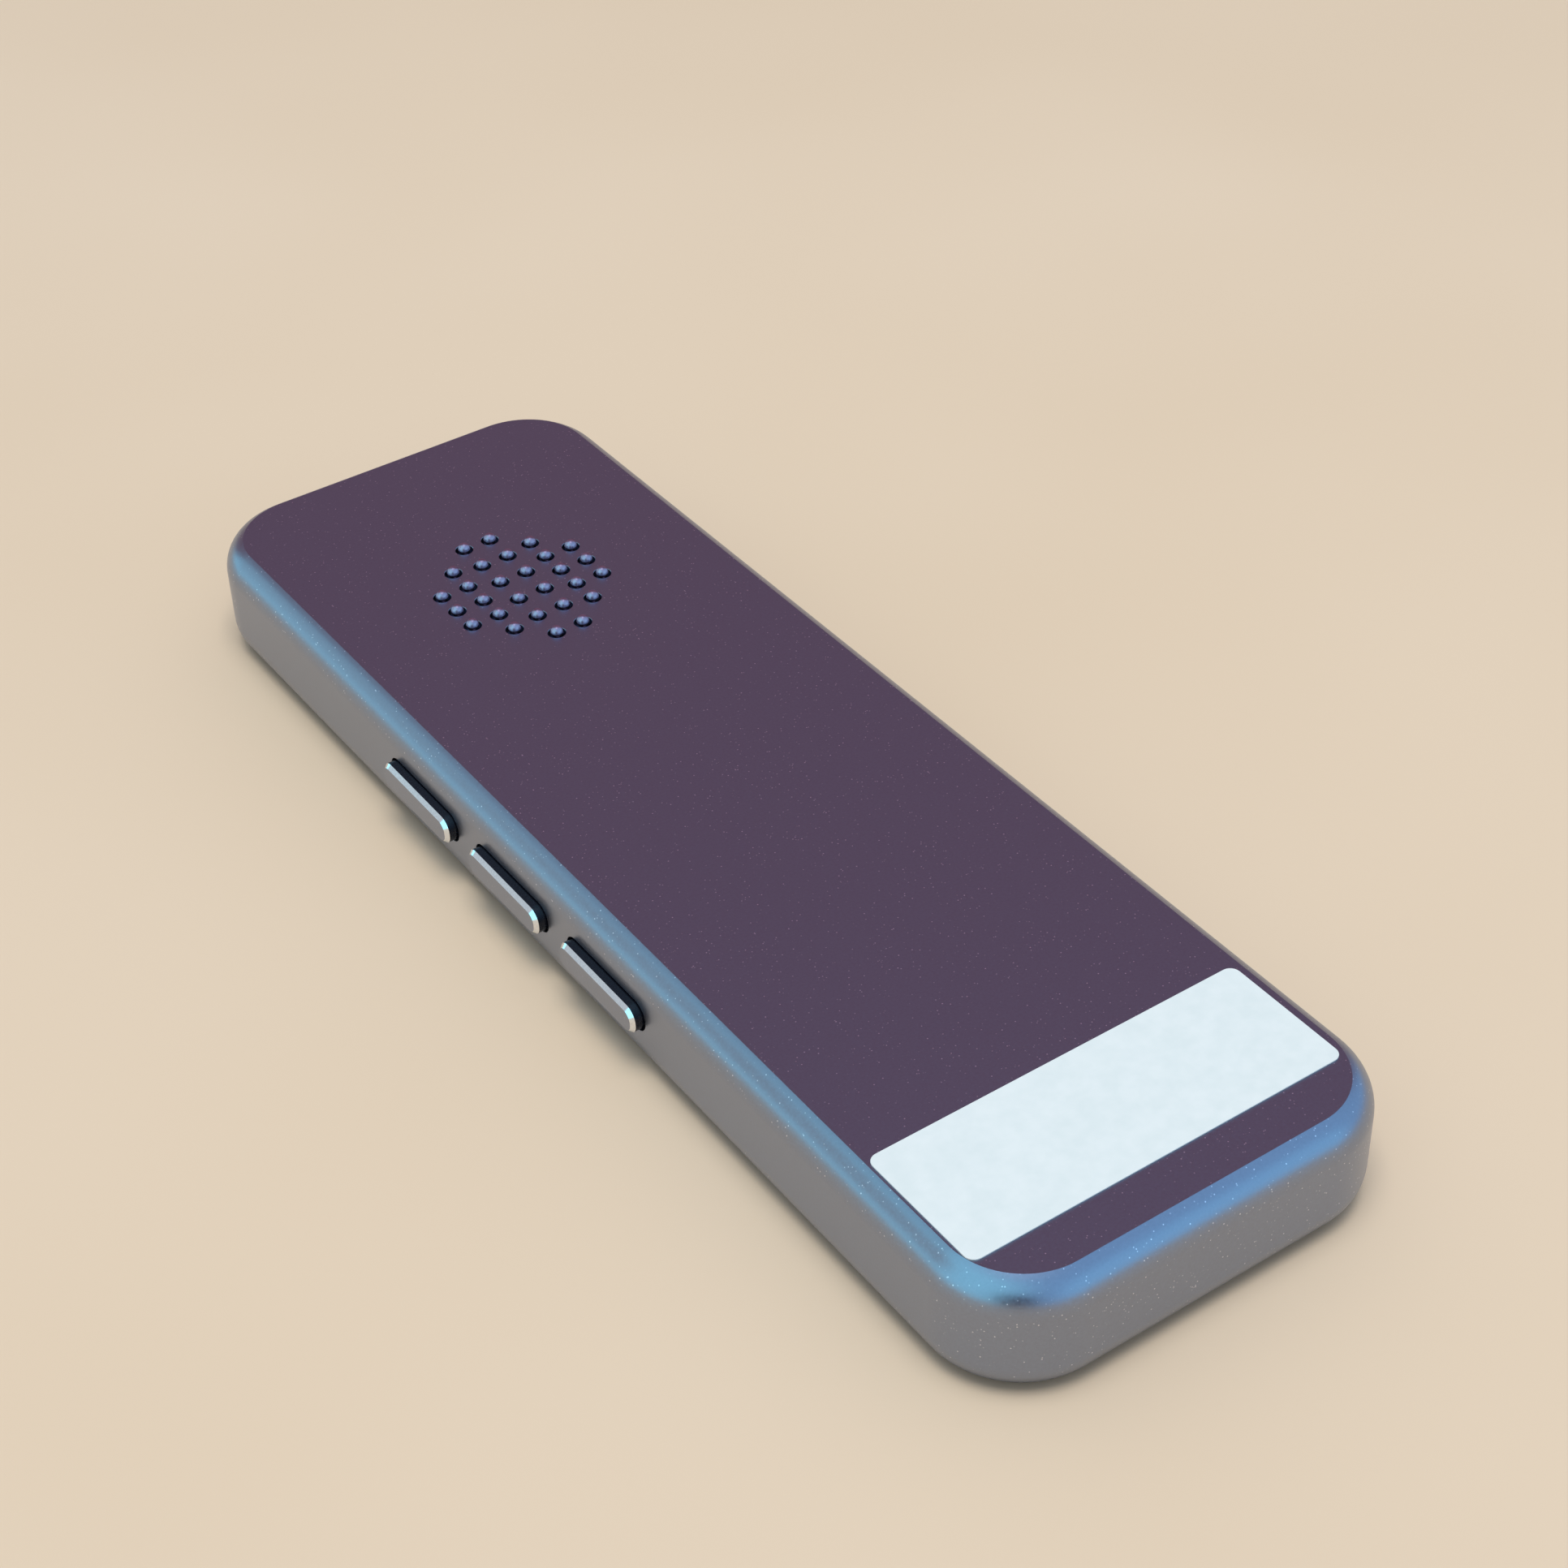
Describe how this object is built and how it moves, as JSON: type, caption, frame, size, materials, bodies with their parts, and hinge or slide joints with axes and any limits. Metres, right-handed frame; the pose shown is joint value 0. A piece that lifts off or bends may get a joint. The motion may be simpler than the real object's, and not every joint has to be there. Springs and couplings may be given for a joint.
{
  "type": "handheld translator",
  "caption": "Bar-shaped handheld voice translator with a flat metal back, pinned sound holes, sprung side keys, round talk keys and a screen under glass.",
  "frame": {"origin": "centre of the front glass face that the device rests on", "axes": "+Y along the length to the speaker and socket end, +X away from the side keys, +Z from the screen side to the back"},
  "size_m": [0.037, 0.1122, 0.0106],
  "materials": {
    "case_metal": "bead-blasted and anodised dark grey",
    "key_metal": "polished dark steel",
    "frame_plastic": "moulded black, fine texture",
    "cover_glass": "polished, black printed behind",
    "tape": "black adhesive foam",
    "display": "glossy dark panel",
    "talk_key_plastic": "dished, satin",
    "flex_film": "amber polyimide film",
    "board": "green solder mask",
    "chip": "black moulded package",
    "can_steel": "tinned sheet",
    "screw_steel": "plated",
    "contact_metal": "gold plated",
    "battery_foil": "embossed pouch foil",
    "lead_insulation": "red wire insulation",
    "inner_plastic": "moulded",
    "foam": "open foam",
    "mesh": "fine woven dust cloth",
    "soft_rubber": "silicone",
    "label_film": "white coated film"
  },
  "bodies": {
    "housing": {"back_case": "case_metal", "front_frame": "frame_plastic", "front_glass": "cover_glass", "glass_tape": "tape", "screen_module": "display", "screen_flex": "flex_film", "screen_connector": "chip", "talk_switch_left": "can_steel", "talk_switch_right": "can_steel", "main_board": "board", "charging_port": "can_steel", "port_tongue": "chip", "power_switch": "can_steel", "volume_up_switch": "can_steel", "volume_down_switch": "can_steel", "side_key_strip": "flex_film", "side_key_bracket": "can_steel", "bracket_screws": "screw_steel", "frame_screws": "screw_steel", "battery_tray": "inner_plastic", "battery": "battery_foil", "battery_tape": "tape", "battery_connector": "chip", "battery_leads": "lead_insulation", "speaker_housing": "inner_plastic", "speaker": "can_steel", "speaker_gasket": "foam", "speaker_mesh": "mesh", "grille_pins": "key_metal", "speaker_contacts": "contact_metal", "microphone_left": "can_steel", "microphone_right": "can_steel", "microphone_boot_left": "soft_rubber", "microphone_boot_right": "soft_rubber", "processor": "chip", "memory_chip": "chip", "shield_can": "can_steel", "antenna_carrier": "inner_plastic", "antenna": "contact_metal", "label": "label_film"},
    "power_key": {"power_key": "key_metal"},
    "volume_up_key": {"volume_up_key": "key_metal"},
    "volume_down_key": {"volume_down_key": "key_metal"},
    "talk_key_left": {"talk_key_left": "talk_key_plastic"},
    "talk_key_right": {"talk_key_right": "talk_key_plastic"}
  },
  "joints": [
    {"name": "power_key_press", "type": "slide", "parent": "housing", "child": "power_key", "axis": [1, 0, 0], "range_m": [0, 0.00025], "stiffness_N_per_m": 4800},
    {"name": "volume_up_key_press", "type": "slide", "parent": "housing", "child": "volume_up_key", "axis": [1, 0, 0], "range_m": [0, 0.00025], "stiffness_N_per_m": 4800},
    {"name": "volume_down_key_press", "type": "slide", "parent": "housing", "child": "volume_down_key", "axis": [1, 0, 0], "range_m": [0, 0.00025], "stiffness_N_per_m": 4800},
    {"name": "talk_key_left_press", "type": "slide", "parent": "housing", "child": "talk_key_left", "axis": [0, 0, 1], "range_m": [0, 0.0003], "stiffness_N_per_m": 5000},
    {"name": "talk_key_right_press", "type": "slide", "parent": "housing", "child": "talk_key_right", "axis": [0, 0, 1], "range_m": [0, 0.0003], "stiffness_N_per_m": 5000}
  ]
}
